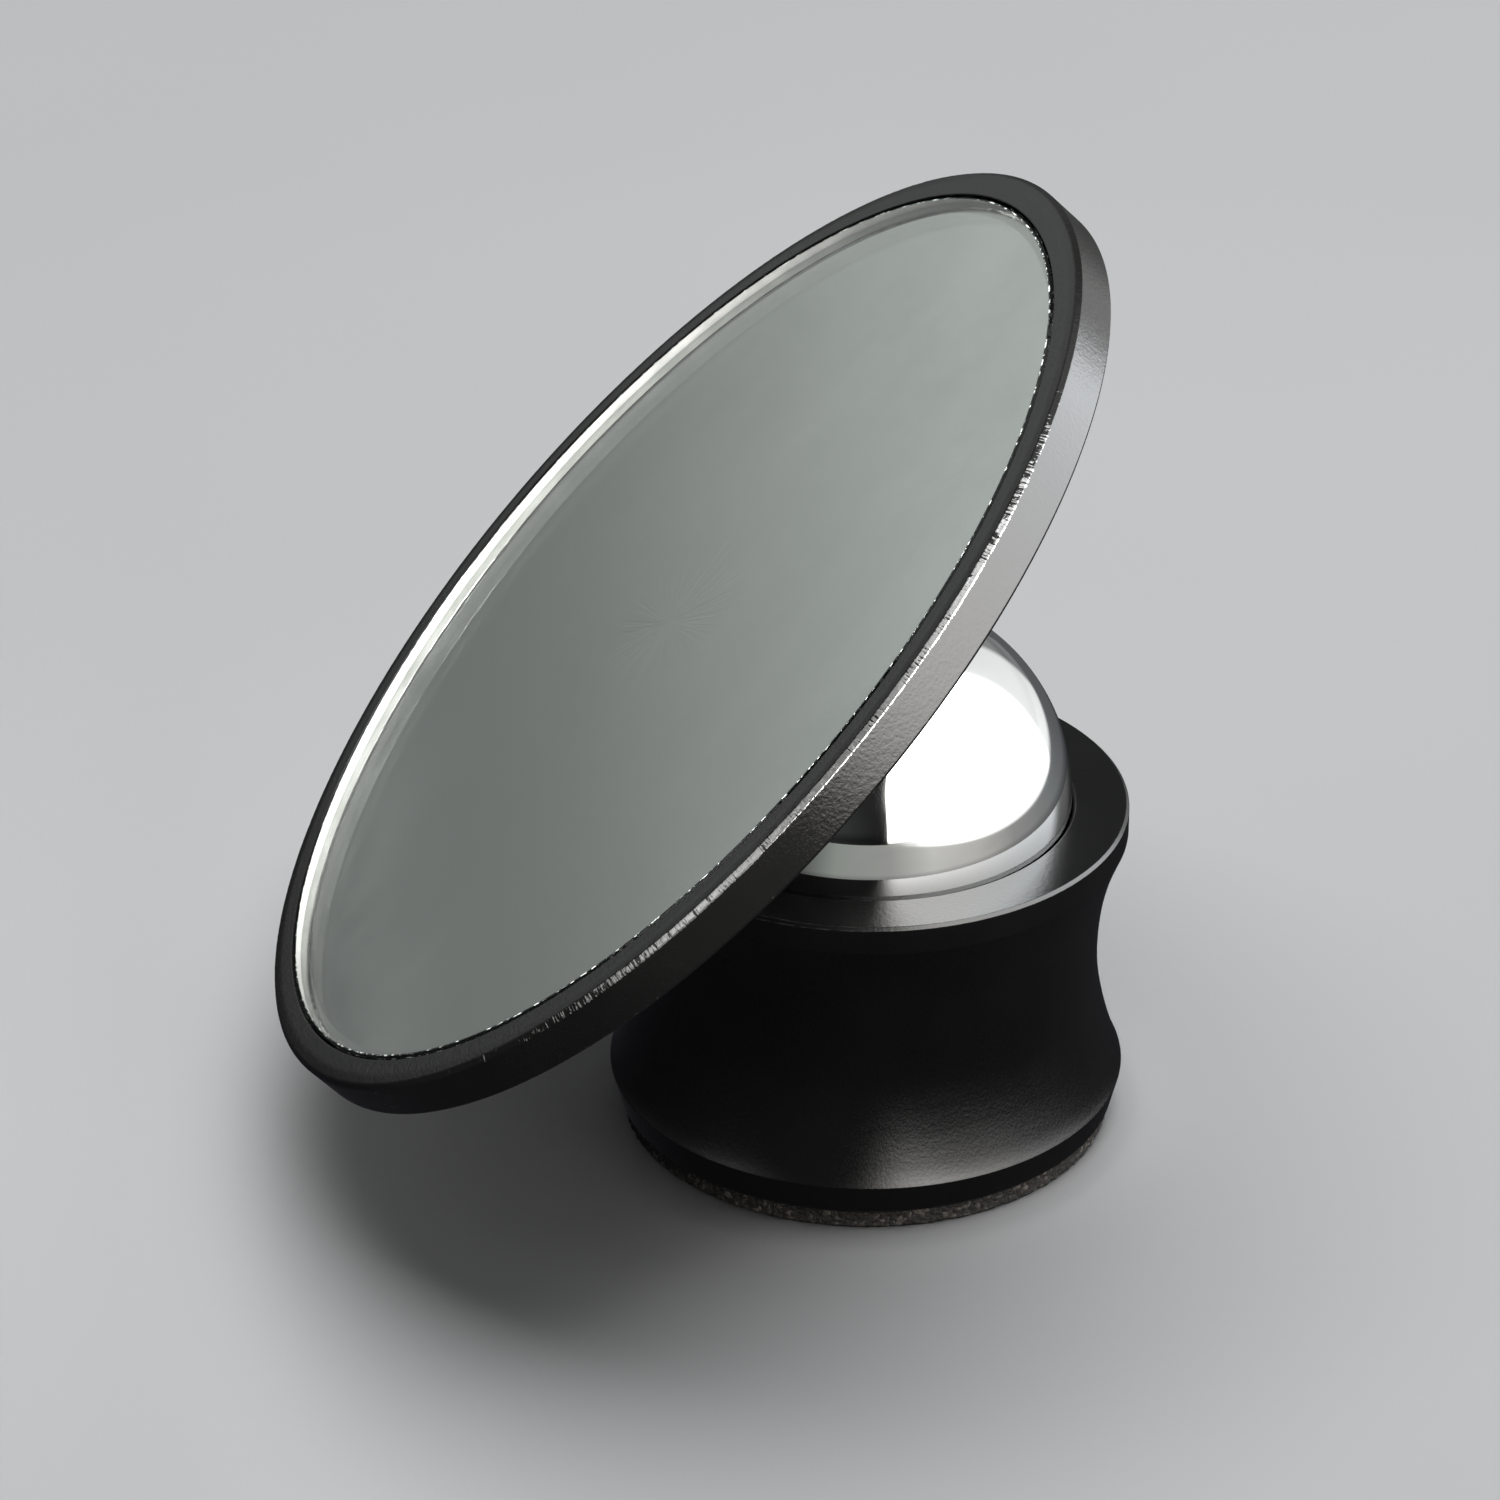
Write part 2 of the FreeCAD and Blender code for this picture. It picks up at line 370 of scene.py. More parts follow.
# ---------------------------------------------------------------- materials
def anodised(name, base, grain, rough, blast, sheen_ior=1.62, wear_gain=1.0,
             bare=(0.16, 0.158, 0.155), bare_metal=0.55, coarse_part=0.35, streaks=False):
    """Bead-blasted black aluminium: fine pits, slow sheen changes, paler worn corners."""
    mat = Material(name)
    pit = mat.voronoi(scale=grain, feature="SMOOTH_F1")
    fine = mat.noise(scale=grain * 1.35)
    coarse = mat.noise(scale=grain * 0.30, detail=2.0, rough=0.5)
    cloud = mat.noise(scale=85.0, rough=0.55)
    rub = mat.noise(scale=1500.0, rough=0.62, distortion=0.6)
    colour = mat.mix(mat.remap(cloud, span=(0.35, 0.65)), shade(base, by=0.8),
                     shade(base, by=1.2))
    speck = mat.remap(fine, span=(0.62, 0.76))
    colour = mat.mix(mat.times(speck, by=0.30), colour, shade(base, by=2.2, lift=0.0015))
    if streaks:
        # short strokes across the corner, ragged at their ends
        tooth = mat.noise(scale=7200.0, detail=2.0, place=mat.attribute("lay", "Vector"))
        strokes = mat.add(mat.times(tooth, by=0.65), mat.times(rub, by=0.35))
        ragged = mat.times(mat.maths("SUBTRACT", strokes, b=0.5), by=2.4)
        reach = mat.add(mat.attribute("wear"), ragged)
        edge = mat.times(mat.remap(reach, span=(0.46, 0.62)),
                         mat.remap(mat.attribute("wear"), span=(0.08, 0.30)), clamp=True)
    else:
        edge = mat.times(mat.attribute("wear"), mat.remap(rub, span=(0.44, 0.60)), clamp=True)
    edge = mat.times(edge, by=wear_gain, clamp=True)
    colour = mat.mix(edge, colour, bare)
    roughness = mat.remap(cloud, span=(0.3, 0.7), to=(rough - 0.02, rough + 0.02))
    roughness = mat.add(roughness, mat.remap(fine, span=(0.3, 0.7), to=(-0.02, 0.02)))
    roughness = mat.add(roughness, mat.times(edge, by=0.05))
    height = mat.add(mat.times(pit, by=0.7), mat.add(fine, mat.times(coarse, by=coarse_part)))
    if streaks:
        height = mat.add(height, mat.times(mat.times(tooth, edge), by=1.2))
    metal_part = mat.times(edge, by=bare_metal)
    normal = mat.bump(height, strength=blast, distance=0.00006)
    body = mat.principled(Base_Color=colour, Roughness=roughness, Metallic=metal_part,
                          Specular_IOR_Level=0.0, Normal=normal)
    # the dyed oxide's sheen falls off quickly to the sides
    sheen = mat.make("ShaderNodeBsdfAnisotropic", settings={"distribution": "BECKMANN"},
                     Roughness=roughness, Normal=normal)
    fresnel = mat.make("ShaderNodeFresnel", IOR=sheen_ior, Normal=normal)
    return mat.finish(mat.mix_shader(mat.times(fresnel, mat.invert(metal_part)), body, sheen))


def chrome():
    """Polished chrome: soft-edged reflections, faint smears of handling."""
    mat = Material("polished_chrome")
    smear = mat.noise(scale=130.0, distortion=0.8)
    haze = mat.noise(scale=900.0, detail=4.0)
    roughness = mat.add(mat.remap(smear, span=(0.36, 0.68), to=(0.080, 0.120)),
                        mat.remap(haze, span=(0.35, 0.7), to=(0.0, 0.012)))
    colour = mat.mix(mat.remap(smear, span=(0.4, 0.7)),
                     low=(0.800, 0.810, 0.805), high=(0.770, 0.780, 0.775))
    clean = mat.principled(Base_Color=colour, Roughness=0.0, Metallic=1.0)
    film = mat.principled(Base_Color=colour, Roughness=roughness, Metallic=1.0)
    cover = mat.remap(smear, span=(0.36, 0.68), to=(0.20, 0.36))
    return mat.finish(mat.mix_shader(cover, clean, film))


def glass():
    """Float glass: clear faces, a frosted ground wall and arris, with painted light on the wall
    and painted shade on the arris.
    """
    mat = Material("float_glass")
    ground = mat.remap(mat.attribute("wear"), span=(0.15, 0.35))
    grit = mat.noise(scale=5200.0, rough=0.65)
    slow = mat.noise(scale=150.0, rough=0.5)
    spark = mat.noise(scale=2600.0, detail=2.0)
    clear = mat.principled(Base_Color=(0.972, 0.985, 0.976), Transmission_Weight=1.0,
                           IOR=1.52, Roughness=0.0)
    tone = mat.mix(mat.remap(slow, span=(0.35, 0.68)),
                   low=(0.80, 0.785, 0.77), high=(0.66, 0.645, 0.63))
    tone = mat.mix(mat.times(mat.remap(spark, span=(0.55, 0.72)), by=0.5), tone,
                   high=(0.90, 0.92, 0.91))
    # the front arris is painted dark green as painted shade, with painted glints at its chips
    arris_glints = mat.noise(scale=1700.0, rough=0.7)
    corner = mat.mix(mat.remap(arris_glints, span=(0.53, 0.58)),
                     low=(0.010, 0.014, 0.012), high=(0.85, 0.90, 0.88))
    rays = mat.node("ShaderNodeLightPath").outputs
    # painted light: the ground wall's tone is painted pale where light through the face would
    # fall, dark elsewhere, in patches
    patches = mat.remap(mat.noise(scale=420.0), span=(0.30, 0.70), to=(0.72, 1.18))
    painted_edge_light = mat.times(mat.attribute("painted_edge_light"), patches, clamp=True)
    # the painted light on the ground wall is halved in reflections
    painted_edge_light = mat.times(painted_edge_light, mat.remap(rays["Is Reflection Ray"], span=(0.0, 1.0), to=(1.0, 0.50)))
    tone = mat.mix(painted_edge_light, low=(0.060, 0.062, 0.058), high=tone)
    inside = mat.node("ShaderNodeNewGeometry").outputs["Backfacing"]
    # painted shade: the arris takes the dark colour, except where it is seen from inside
    worn = mat.remap(mat.attribute("wear"), span=(0.66, 0.85))
    tone = mat.mix(mat.maths("MAXIMUM", worn, inside), tone_low := corner, tone) if False else \
        mat.mix(mat.maths("MAXIMUM", worn, inside), corner, tone)
    frost = mat.principled(Base_Color=tone, Roughness=0.50,
                           Normal=mat.bump(grit, strength=0.35, distance=0.00003))
    solid = mat.mix_shader(ground, clear, frost)
    # light reaches what lies behind the clear face
    through = mat.make("ShaderNodeBsdfTransparent", Color=(0.925, 0.935, 0.930))
    passing = mat.times(rays["Is Shadow Ray"], mat.invert(ground))
    return mat.finish(mat.mix_shader(passing, solid, through))


def silver():
    """The silvered back: a faint mottled haze over the whole disc."""
    mat = Material("rear_silver")
    wobble = mat.noise(scale=60.0, detail=2.0, rough=0.5)
    blot = mat.noise(scale=70.0, detail=4.0, rough=0.62, distortion=0.5)
    old = mat.noise(scale=900.0)
    colour = mat.mix(mat.remap(old, span=(0.45, 0.75)),
                     low=(0.855, 0.885, 0.862), high=(0.835, 0.868, 0.846))
    colour = mat.mix(mat.remap(blot, span=(0.32, 0.70)), colour, high=(0.775, 0.812, 0.788))
    roughness = mat.add(mat.remap(blot, span=(0.35, 0.65), to=(0.035, 0.060)),
                        mat.times(mat.attribute("wear"), by=0.12))
    return mat.finish(mat.principled(
        Base_Color=colour, Metallic=1.0, Roughness=roughness,
        Normal=mat.bump(wobble, strength=0.02, distance=0.00001)))


def granular():
    """Dark granules of mixed brightness with pale flecks."""
    mat = Material("granular_pad")
    cells = mat.voronoi(scale=3600.0, output="Color")
    distance = mat.voronoi(scale=3600.0)
    patches = mat.noise(scale=700.0)
    fleck = mat.noise(scale=5200.0, rough=0.7)
    colour = mat.ramp(mat.make("ShaderNodeSeparateColor", Color=cells), [
        (0.0, (0.002, 0.0017, 0.0014)), (0.4, (0.005, 0.0043, 0.0036)),
        (0.75, (0.013, 0.0112, 0.0094)), (1.0, (0.075, 0.066, 0.057))])
    colour = mat.mix(mat.remap(patches, span=(0.35, 0.7)), colour, high=(0.006, 0.0052, 0.0044))
    colour = mat.mix(mat.times(mat.remap(fleck, span=(0.62, 0.75)), by=0.5), colour,
                     high=(0.11, 0.10, 0.09))
    height = mat.add(mat.times(distance, by=-1.0), fleck)
    return mat.finish(mat.principled(
        Base_Color=colour, IOR=1.4,
        Roughness=mat.remap(fleck, span=(0.3, 0.7), to=(0.72, 0.95)),
        Normal=mat.bump(height, strength=0.8, distance=0.0001)))


def tape(name, base):
    mat = Material(name)
    fine = mat.noise(scale=1800.0)
    slow = mat.noise(scale=160.0, rough=0.5)
    colour = mat.mix(mat.remap(slow, span=(0.3, 0.7)), shade(base, by=0.8), shade(base, by=1.3))
    return mat.finish(mat.principled(
        Base_Color=colour, Roughness=mat.remap(fine, span=(0.3, 0.7), to=(0.55, 0.75)),
        Normal=mat.bump(fine, strength=0.3, distance=0.00003)))


def metal(name, base, rough):
    mat = Material(name)
    fine = mat.noise(scale=2500.0, detail=4.0,
                     place=mat.make("ShaderNodeMapping", Vector=mat.place))
    slow = mat.noise(scale=300.0, rough=0.5)
    colour = mat.mix(mat.remap(slow, span=(0.35, 0.65)), shade(base, by=0.85),
                     shade(base, by=1.12))
    roughness = mat.add(mat.remap(fine, span=(0.3, 0.7), to=(rough - 0.06, rough + 0.06)),
                        mat.remap(slow, span=(0.3, 0.7), to=(-0.03, 0.03)))
    return mat.finish(mat.principled(
        Base_Color=colour, Roughness=roughness, Metallic=1.0,
        Normal=mat.bump(fine, strength=0.25, distance=0.00002)))


BASE_BLACK = anodised("anodised_base", base=(0.0029, 0.0029, 0.0029), grain=4600.0,
                      rough=0.305, blast=0.12, wear_gain=0.3)
DISH_BLACK = anodised("anodised_dish", base=(0.0055, 0.0053, 0.0050), grain=4200.0,
                      rough=0.255, blast=0.24, sheen_ior=1.76, bare=(0.82, 0.82, 0.81),
                      bare_metal=1.0, coarse_part=0.6, streaks=True)
CUP_BLACK = anodised("coated_cup", base=(0.0060, 0.0060, 0.0064), grain=5200.0,
                     rough=0.360, blast=0.20)
CHROME = chrome()
GLASS = glass()
SILVER = silver()
PAD = granular()
TAPE = tape("tape_black", base=(0.016, 0.016, 0.017))
LINER = tape("liner_polymer", base=(0.030, 0.030, 0.032))
SCREW = metal("zinc_screw", base=(0.52, 0.53, 0.55), rough=0.30)
MAGNET = metal("nickel_magnet", base=(0.66, 0.64, 0.60), rough=0.22)


def fit(piece, material, body, node):
    """Gives a piece its material and its place in the frame."""
    piece.data.materials.append(material)
    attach(piece, body)
    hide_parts(node)


# --------------------------------------------------------------------- base
BAND_R = 0.0155            # the band below the waist
BAND_CUT = 0.00015
WAIST_LOW, WAIST_HIGH = 0.0033, 0.0197
FLANGE_CUT = 0.00018
SEAT_R = 0.01485           # shallow seat over the pad
SEAT_Z = PAD_TOP + 0.0001
RECESS_R, RECESS_TOP = 0.0048, 0.0054
HOLE_R, HOLE_TOP = 0.00275, 0.0069
BORE_R = BALL_R + 0.00005
BORE_CUT = 0.0002
BORE_DEPTH = 0.0045
# (radius, height) down the hollow side, in millimetres
WAIST_MM = [
    (15.815, 3.7), (15.62, 4.2), (15.42, 4.8), (15.18, 5.6), (14.92, 6.6), (14.62, 8.0),
    (14.39, 9.5), (14.30, 11.0), (14.33, 12.5), (14.45, 14.0), (14.67, 15.5), (15.02, 17.0),
    (15.33, 18.0), (15.71, 19.0)]


def catmull(points, steps):
    """A Catmull-Rom curve through the points."""
    knots = [Vector(point) for point in points]
    knots = [knots[0] * 2 - knots[1]] + knots + [knots[-1] * 2 - knots[-2]]
    curve = []
    for i in range(1, len(knots) - 2):
        a, b, c, d = knots[i - 1:i + 3]
        for k in range(steps):
            t = k / steps
            curve.append(0.5 * ((2 * b) + (c - a) * t + (2 * a - 5 * b + 4 * c - d) * t * t
                                + (3 * b - a - 3 * c + d) * t ** 3))
    curve.append(knots[-2])
    return curve


def build_base():
    waist = catmull([(FLANGE_R / MM, WAIST_LOW / MM)] + WAIST_MM
                    + [(FLANGE_R / MM, WAIST_HIGH / MM)], steps=6)
    waist = [(point.x * MM, point.y * MM) for point in waist]
    outline = [
        (RECESS_R, SEAT_Z, 0.00005),
        (SEAT_R, SEAT_Z, 0.00003),
        (SEAT_R, PAD_TOP, 0.00003),
        (BAND_R - BAND_CUT, PAD_TOP, 0.00005),
        (BAND_R, PAD_TOP + BAND_CUT, 0.00006, 0.5),
        (*waist[0], 0.00005),
        *on_curve(waist[1:-1]),
        (*waist[-1], 0.0005),
        (FLANGE_R, BASE_TOP - FLANGE_CUT, 0.00007, 0.45),
        (FLANGE_R - FLANGE_CUT, BASE_TOP, 0.00007, 0.35),
        (BORE_R + BORE_CUT, BASE_TOP, 0.00006, 0.3),
        (BORE_R, BASE_TOP - BORE_CUT, 0.00006, 0.2),
        (BORE_R, BASE_TOP - BORE_DEPTH, 0.0001),
        (HOLE_R, HOLE_TOP, 0.0001),
        (HOLE_R, RECESS_TOP, 0.00005),
        (RECESS_R, RECESS_TOP, 0.00005)]
    base = lathe("base_turned", outline, segments=320, closed=True, longest=0.0010)
    fit(base, BASE_BLACK, "base", "base_body")


def crumble(point, radius):
    """Crumbly granules at the pad's cut edge."""
    if radius <= PAD_R - 0.0004:
        return 0.0, 0.0
    place = Vector(point)
    grains = noise.noise(place * 5200.0) * 0.6 + noise.noise(place * 2600.0) * 0.4
    return min(0.0, grains * 0.00013 - 0.00005), 0.0


def build_pad():
    """A dense rim with a coarse middle keeps the mesh small."""
    rim = 0.0012
    low_fillet = 0.00022
    wall = PAD_TOP - 0.00034
    outline = [
        (0, 0),
        (PAD_R - rim, 0),
        *((PAD_R - rim + 0.0002 * j, 0) for j in range(1, 5)),
        (PAD_R, 0, low_fillet),
        *((PAD_R, low_fillet + wall * j / 8) for j in range(1, 8)),
        (PAD_R, PAD_TOP, 0.00010, 0, 3),
        (PAD_R - 0.0008, PAD_TOP),
        (0, PAD_TOP)]
    pad = lathe("pad_granular", outline, segments=720, closed=False, longest=0.004,
                gap=0.00001, shift=crumble)
    fit(pad, PAD, "base", "base_pad")


def build_ball():
    """A ball with a flat underneath and a cone-ended hole in the flat."""
    flat_r = 0.0035
    flat_z = BALL_CENTRE.z - math.sqrt(BALL_R ** 2 - flat_r ** 2)
    hole_r, hole_top = 0.0023, 0.0183
    steps = 150
    start = -math.acos(flat_r / BALL_R)
    angles = [start + (math.pi / 2 - start) * i / steps for i in range(1, steps)]
    outline = [
        (0, hole_top + hole_r * 0.6),
        (hole_r, hole_top),
        (hole_r, flat_z, 0.00008, 0, 3),
        (flat_r, flat_z),
        *on_curve([(BALL_R * math.cos(angle), BALL_CENTRE.z + BALL_R * math.sin(angle))
                   for angle in angles]),
        (0, BALL_CENTRE.z + BALL_R)]
    ball = lathe("ball_polished", outline, segments=320, closed=False, longest=0.003,
                 gap=0.00002, flats=False)
    fit(ball, CHROME, "ball", "ball")


build_base()
build_pad()
build_ball()

# --------------------------------------------------------------------- head
POCKET_R = GLASS_R + 0.00012
SINK_R = 0.00235                                # 45-degree countersink in the dish's floor
SINK_BACK_R = SINK_R - (DISH_FLOOR - DISH_BACK)
CUP_HOLE_R = 0.00125
CUP_WALL_R = 0.00615                            # inside of the cup's wall
CUP_CUT = 0.00015
ARRIS = 0.00015                                 # the glass's front edge

# (degrees about the head's axis, share): where the bezel's corner shows pale bare metal
BARE_CORNER = [(-180, 0.0), (-45, 0.0), (-25, 0.22), (-12, 0.48), (0, 0.72), (38, 0.72),
          (52, 0.45), (64, 0.18), (78, 0.0), (180, 0.0)]
# (degrees about the head's axis, share): painted light on the glass's ground wall, by angle
# around the rim
EDGE_LIGHT_BY_ANGLE = [(-180, 0.75), (-160, 0.95), (-140, 1.0), (-115, 1.0), (-100, 0.75), (-85, 0.40),
          (-60, 0.25), (90, 0.22), (120, 0.30), (150, 0.48), (180, 0.75)]
# (depth from front 0 to back 1, share): the painted light on the ground wall fades towards the
# back
EDGE_LIGHT_BY_DEPTH = [(0.0, 1.0), (0.6, 1.0), (0.85, 0.85), (1.0, 0.70)]


def interpolate(x, stops):
    return float(np.interp(x, *zip(*stops)))


def around(point, stops):
    return interpolate(math.degrees(math.atan2(point.y, point.x)), stops)


def wander(point, radius):
    """The bezel's outer corner wanders by a few hundredths of a millimetre."""
    if radius <= DISH_R - 0.00060 or point[2] <= FRONT - 0.00060:
        return 0.0, 0.0
    depth = (min(1.0, max(0.0, (radius - DISH_R + 0.00045) / 0.0003))
             * min(1.0, max(0.0, (point[2] - FRONT + 0.00045) / 0.0003)))
    place = Vector(point)
    bite = abs(noise.noise(place * 2600.0)) * 0.6 + abs(noise.noise(place * 4300.0)) * 0.4
    return -depth * bite * 0.00004, -depth * bite * 0.00003


def build_dish():
    outline = [
        (SINK_R, DISH_FLOOR, 0.00004),
        (SINK_BACK_R, DISH_BACK, 0.00005),
        (DISH_R - 0.0002, DISH_BACK, 0.00008, 0.15),
        (DISH_R, DISH_BACK + 0.0002, 0.00008, 0.15),
        (DISH_R, FRONT - 0.00050),
        (DISH_R, FRONT - 0.00037, 0.00008, 1.0),
        (DISH_R - 0.00023, FRONT - 0.00012, 0.00008, 1.0),
        (DISH_R - 0.00033, FRONT - 0.00008),
        (DISH_R - 0.00090, FRONT, 0.00300, 0.0, 6),
        (POCKET_R, FRONT, 0.00007),
        (POCKET_R, DISH_FLOOR, 0.00010)]
    dish = lathe("dish_turned", outline, segments=960, closed=True, longest=0.0024,
                 matrix=HEAD, shift=wander)
    wear = dish.data.attributes["wear"].data
    for i, vertex in enumerate(dish.data.vertices):
        place = HEAD_INVERSE @ vertex.co
        if wear[i].value > 0.0 and place.z > FRONT - 0.0006:
            wear[i].value *= around(place, BARE_CORNER)
    fit(dish, DISH_BLACK, "mirror", "mirror_dish")


def chip(point, radius):
    """Small chips in the ground wall, deeper at the front arris."""
    if radius <= GLASS_R - ARRIS * 1.25:
        return 0.0, 0.0
    place = Vector(point)
    bite = (noise.noise(place * 2100.0) * 0.6
            + noise.noise(place * 5200.0 + Vector((3, 1, 7))) * 0.4)
    size = 0.00006 if abs(point[2] - FRONT) < ARRIS * 1.2 else 0.000004
    return min(0.0, bite * size - 0.2 * size), 0.0


def build_glass():
    lip = 0.00002
    wall = FRONT - GLASS_BACK - ARRIS - lip
    outline = [
        (0, GLASS_BACK),
        (GLASS_R - 0.00030, GLASS_BACK),
        (GLASS_R - 0.00022, GLASS_BACK, 0.0, 1.0),
        (GLASS_R - lip, GLASS_BACK, 0.0, 1.0),
        *on_curve([(GLASS_R, GLASS_BACK + lip + wall * j / 8) for j in range(8)], wear=1.0),
        (GLASS_R, FRONT - ARRIS, 0.00003, 0.6, 2),
        (GLASS_R - ARRIS, FRONT, 0.0, 0.6),
        (GLASS_R - ARRIS - 0.00006, FRONT, 0.0, 0.6),
        (GLASS_R - ARRIS - 0.00010, FRONT),
        (0, FRONT)]
    pane = lathe("glass_ground", outline, segments=900, closed=False, longest=0.01,
                 gap=0.00003, matrix=HEAD, shift=chip)
    # painted light on the ground wall, by angle around the rim and by depth
    painted_edge_light = pane.data.attributes.new("painted_edge_light", "FLOAT", "POINT").data
    for i, vertex in enumerate(pane.data.vertices):
        place = HEAD_INVERSE @ vertex.co
        if math.hypot(place.x, place.y) > GLASS_R - 0.0006:
            depth = (FRONT - place.z) / (FRONT - GLASS_BACK)
            painted_edge_light[i].value = around(place, EDGE_LIGHT_BY_ANGLE) * interpolate(depth, EDGE_LIGHT_BY_DEPTH)
    fit(pane, GLASS, "mirror", "mirror_glass")
    return pane


def build_silver():
    """The silver layer, a hair behind the glass; its wear fades in from the rim."""
    edge = GLASS_R - 0.00003
    outline = [
        (0, SILVER_BACK),
        (edge, SILVER_BACK),
        (edge, SILVER_FRONT, 0, 1.0),
        (edge - 0.0008, SILVER_FRONT, 0, 0.8),
        (edge - 0.0020, SILVER_FRONT, 0, 0.25),
        (edge - 0.0038, SILVER_FRONT),
        (0, SILVER_FRONT)]
    layer = lathe("silver_layer", outline, segments=360, closed=False, longest=0.008,
                  gap=0.00001, matrix=HEAD)
    fit(layer, SILVER, "mirror", "mirror_silvering")


def build_cup():
    roof = DISH_BACK - 0.0008
    outline = [
        (CUP_HOLE_R, roof, 0.00003),
        (CUP_WALL_R, roof, 0.00006),
        (CUP_WALL_R, CUP_RIM, 0.00006, 0.4),
        (CUP_R - CUP_CUT, CUP_RIM, 0.00006, 0.7),
        (CUP_R, CUP_RIM + CUP_CUT, 0.00006, 0.7),
        (CUP_R, DISH_BACK, 0.00003),
        (SINK_BACK_R, DISH_BACK, 0.00003),
        (CUP_HOLE_R, DISH_BACK - (SINK_BACK_R - CUP_HOLE_R), 0.00003)]
    cup = lathe("cup_turned", outline, segments=192, closed=True, longest=0.0010, matrix=HEAD)
    fit(cup, CUP_BLACK, "cup", "magnet_cup")


build_dish()
pane = build_glass()
build_silver()
build_cup()

# the hidden pieces keep their designed shapes
for node, material in (
        ("pad_adhesive", TAPE), ("mirror_adhesive", TAPE), ("ball_screw", SCREW),
        ("ball_washer", SCREW), ("cup_screw", SCREW), ("head_magnet", MAGNET),
        ("socket_liner", LINER)):
    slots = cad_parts[node].data.materials
    slots.clear()
    slots.append(material)

# -------------------------------------------------------------------- floor
BACKDROP = (0.60, 0.60, 0.61)
# painted reflection: what sharp reflections see of the table, painted as a glow: (degrees about
# Z, brightness, red, green, blue)
PAINTED_TABLE_SHARP = [
    (-180, .060, 1, 1, 1.05), (-120, .035, 1, 1, 1.05), (-45, .035, 1, 1, 1.05),
    (-22, .36, .96, 1.03, .95), (6, .44, 1, 1, .95), (28, .74, 1.02, 1, .96),
    (57, .60, 1.03, 1, .96), (76, .36, 1, 1, .98), (92, .30, 1, 1, 1),
    (106, .25, .97, 1.02, 1.03), (120, .19, .96, 1.02, 1.06), (140, .12, .96, 1.02, 1.08),
    (180, .09, 1, 1, 1.05)]
# painted reflection: what satin reflections see of it, painted as a glow: (degrees about Z,
# brightness)
PAINTED_TABLE_SATIN = [
    (-180, .063), (-120, .055), (-70, .070), (-45, .070), (-22, .090), (6, .120), (28, .200),
    (57, .160), (76, .120), (92, .110), (106, .110), (120, .110), (140, .100), (180, .090)]


def floor_paper():
    mat = Material("floor_paper")
    grain = mat.noise(scale=1600.0)
    wash = mat.noise(scale=9.0, detail=2.0, rough=0.5)
    rays = mat.node("ShaderNodeLightPath").outputs
    pale = mat.mix(mat.remap(wash, span=(0.35, 0.65)),
                   low=(0.60, 0.60, 0.605), high=(0.62, 0.62, 0.625))
    paper = mat.principled(Base_Color=pale, Roughness=0.85, Specular_IOR_Level=0.1,
                           Normal=mat.bump(grain, strength=0.15, distance=0.00005))
    # painted reflection: reflections see the table as a painted glow by direction, with painted
    # shade close in and towards -Y, pale towards +X
    axes = mat.axes(mat.place)
    length = mat.node("ShaderNodeVectorMath", operation="LENGTH")
    mat.put(length.inputs[0], mat.place)
    distance = length.outputs["Value"]
    angle = mat.maths("ARCTAN2", axes["Y"], axes["X"])
    degree = math.radians(1)
    sharp = mat.curve(angle, [(x * degree, shade(cast, by=level))
                              for x, level, *cast in PAINTED_TABLE_SHARP])
    satin = mat.curve(angle, [(x * degree, level) for x, level in PAINTED_TABLE_SATIN])
    seen = mat.mix(rays["Is Singular Ray"], satin, sharp)
    seen = mat.mix(mat.remap(distance, span=(0.056, 0.082)), low=(0.022, 0.022, 0.026),
                   high=seen)
    table = mat.mix_shader(rays["Is Glossy Ray"], paper,
                           mat.make("ShaderNodeEmission", Color=seen))
    # far off, the table runs into the backdrop
    fade = mat.times(mat.remap(distance, span=(0.22, 0.75)), rays["Is Camera Ray"], clamp=True)
    haze = mat.make("ShaderNodeEmission", Color=BACKDROP)
    return mat.finish(mat.mix_shader(fade, table, haze))


bpy.ops.mesh.primitive_circle_add(vertices=128, radius=2.5, fill_type="NGON",
                                  location=(0, 0, pad_low.z - 0.00002))
floor = bpy.context.object
floor.name = "floor"
floor.data.materials.append(floor_paper())
floor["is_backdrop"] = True


# ------------------------------------------------------------------- lights
def collect(name, objects):
    collection = bpy.data.collections.new(name)
    scene.collection.children.link(collection)
    for member in objects:
        collection.objects.link(member)
    return collection


def panel(name, place, aim, size, radiance, receivers, colour=(1, 1, 1)):
    """A rectangular light, unseen by the camera, that lights only its receivers."""
    light = bpy.data.lights.new(name, "AREA")
    light.shape = "RECTANGLE"
    light.size, light.size_y = size
    light.energy = radiance * math.pi * size[0] * size[1]
    light.color = colour
    lamp = bpy.data.objects.new(name, light)
    lamp.location = place
    lamp.rotation_euler = (Vector(aim) - Vector(place)).to_track_quat("-Z", "Y").to_euler()
    scene.collection.objects.link(lamp)
    lamp.visible_camera = False
    lamp.light_linking.receiver_collection = receivers
    return lamp


def shade_panel(lamp, fields):
    """Shapes a light by place in the room: the sum of (along x, along z) products."""
    nodes = Nodes(lamp.data, "ShaderNodeOutputLight")
    axes = nodes.axes(nodes.node("ShaderNodeNewGeometry").outputs["Position"])
    products = [nodes.vector_maths("MULTIPLY", nodes.curve(axes["X"], along_x),
                                   nodes.curve(axes["Z"], along_z))
                for along_x, along_z in fields]
    total = products[0]
    for product in products[1:]:
        total = nodes.vector_maths("ADD", total, product)
    nodes.finish(nodes.make("ShaderNodeEmission", Color=total))


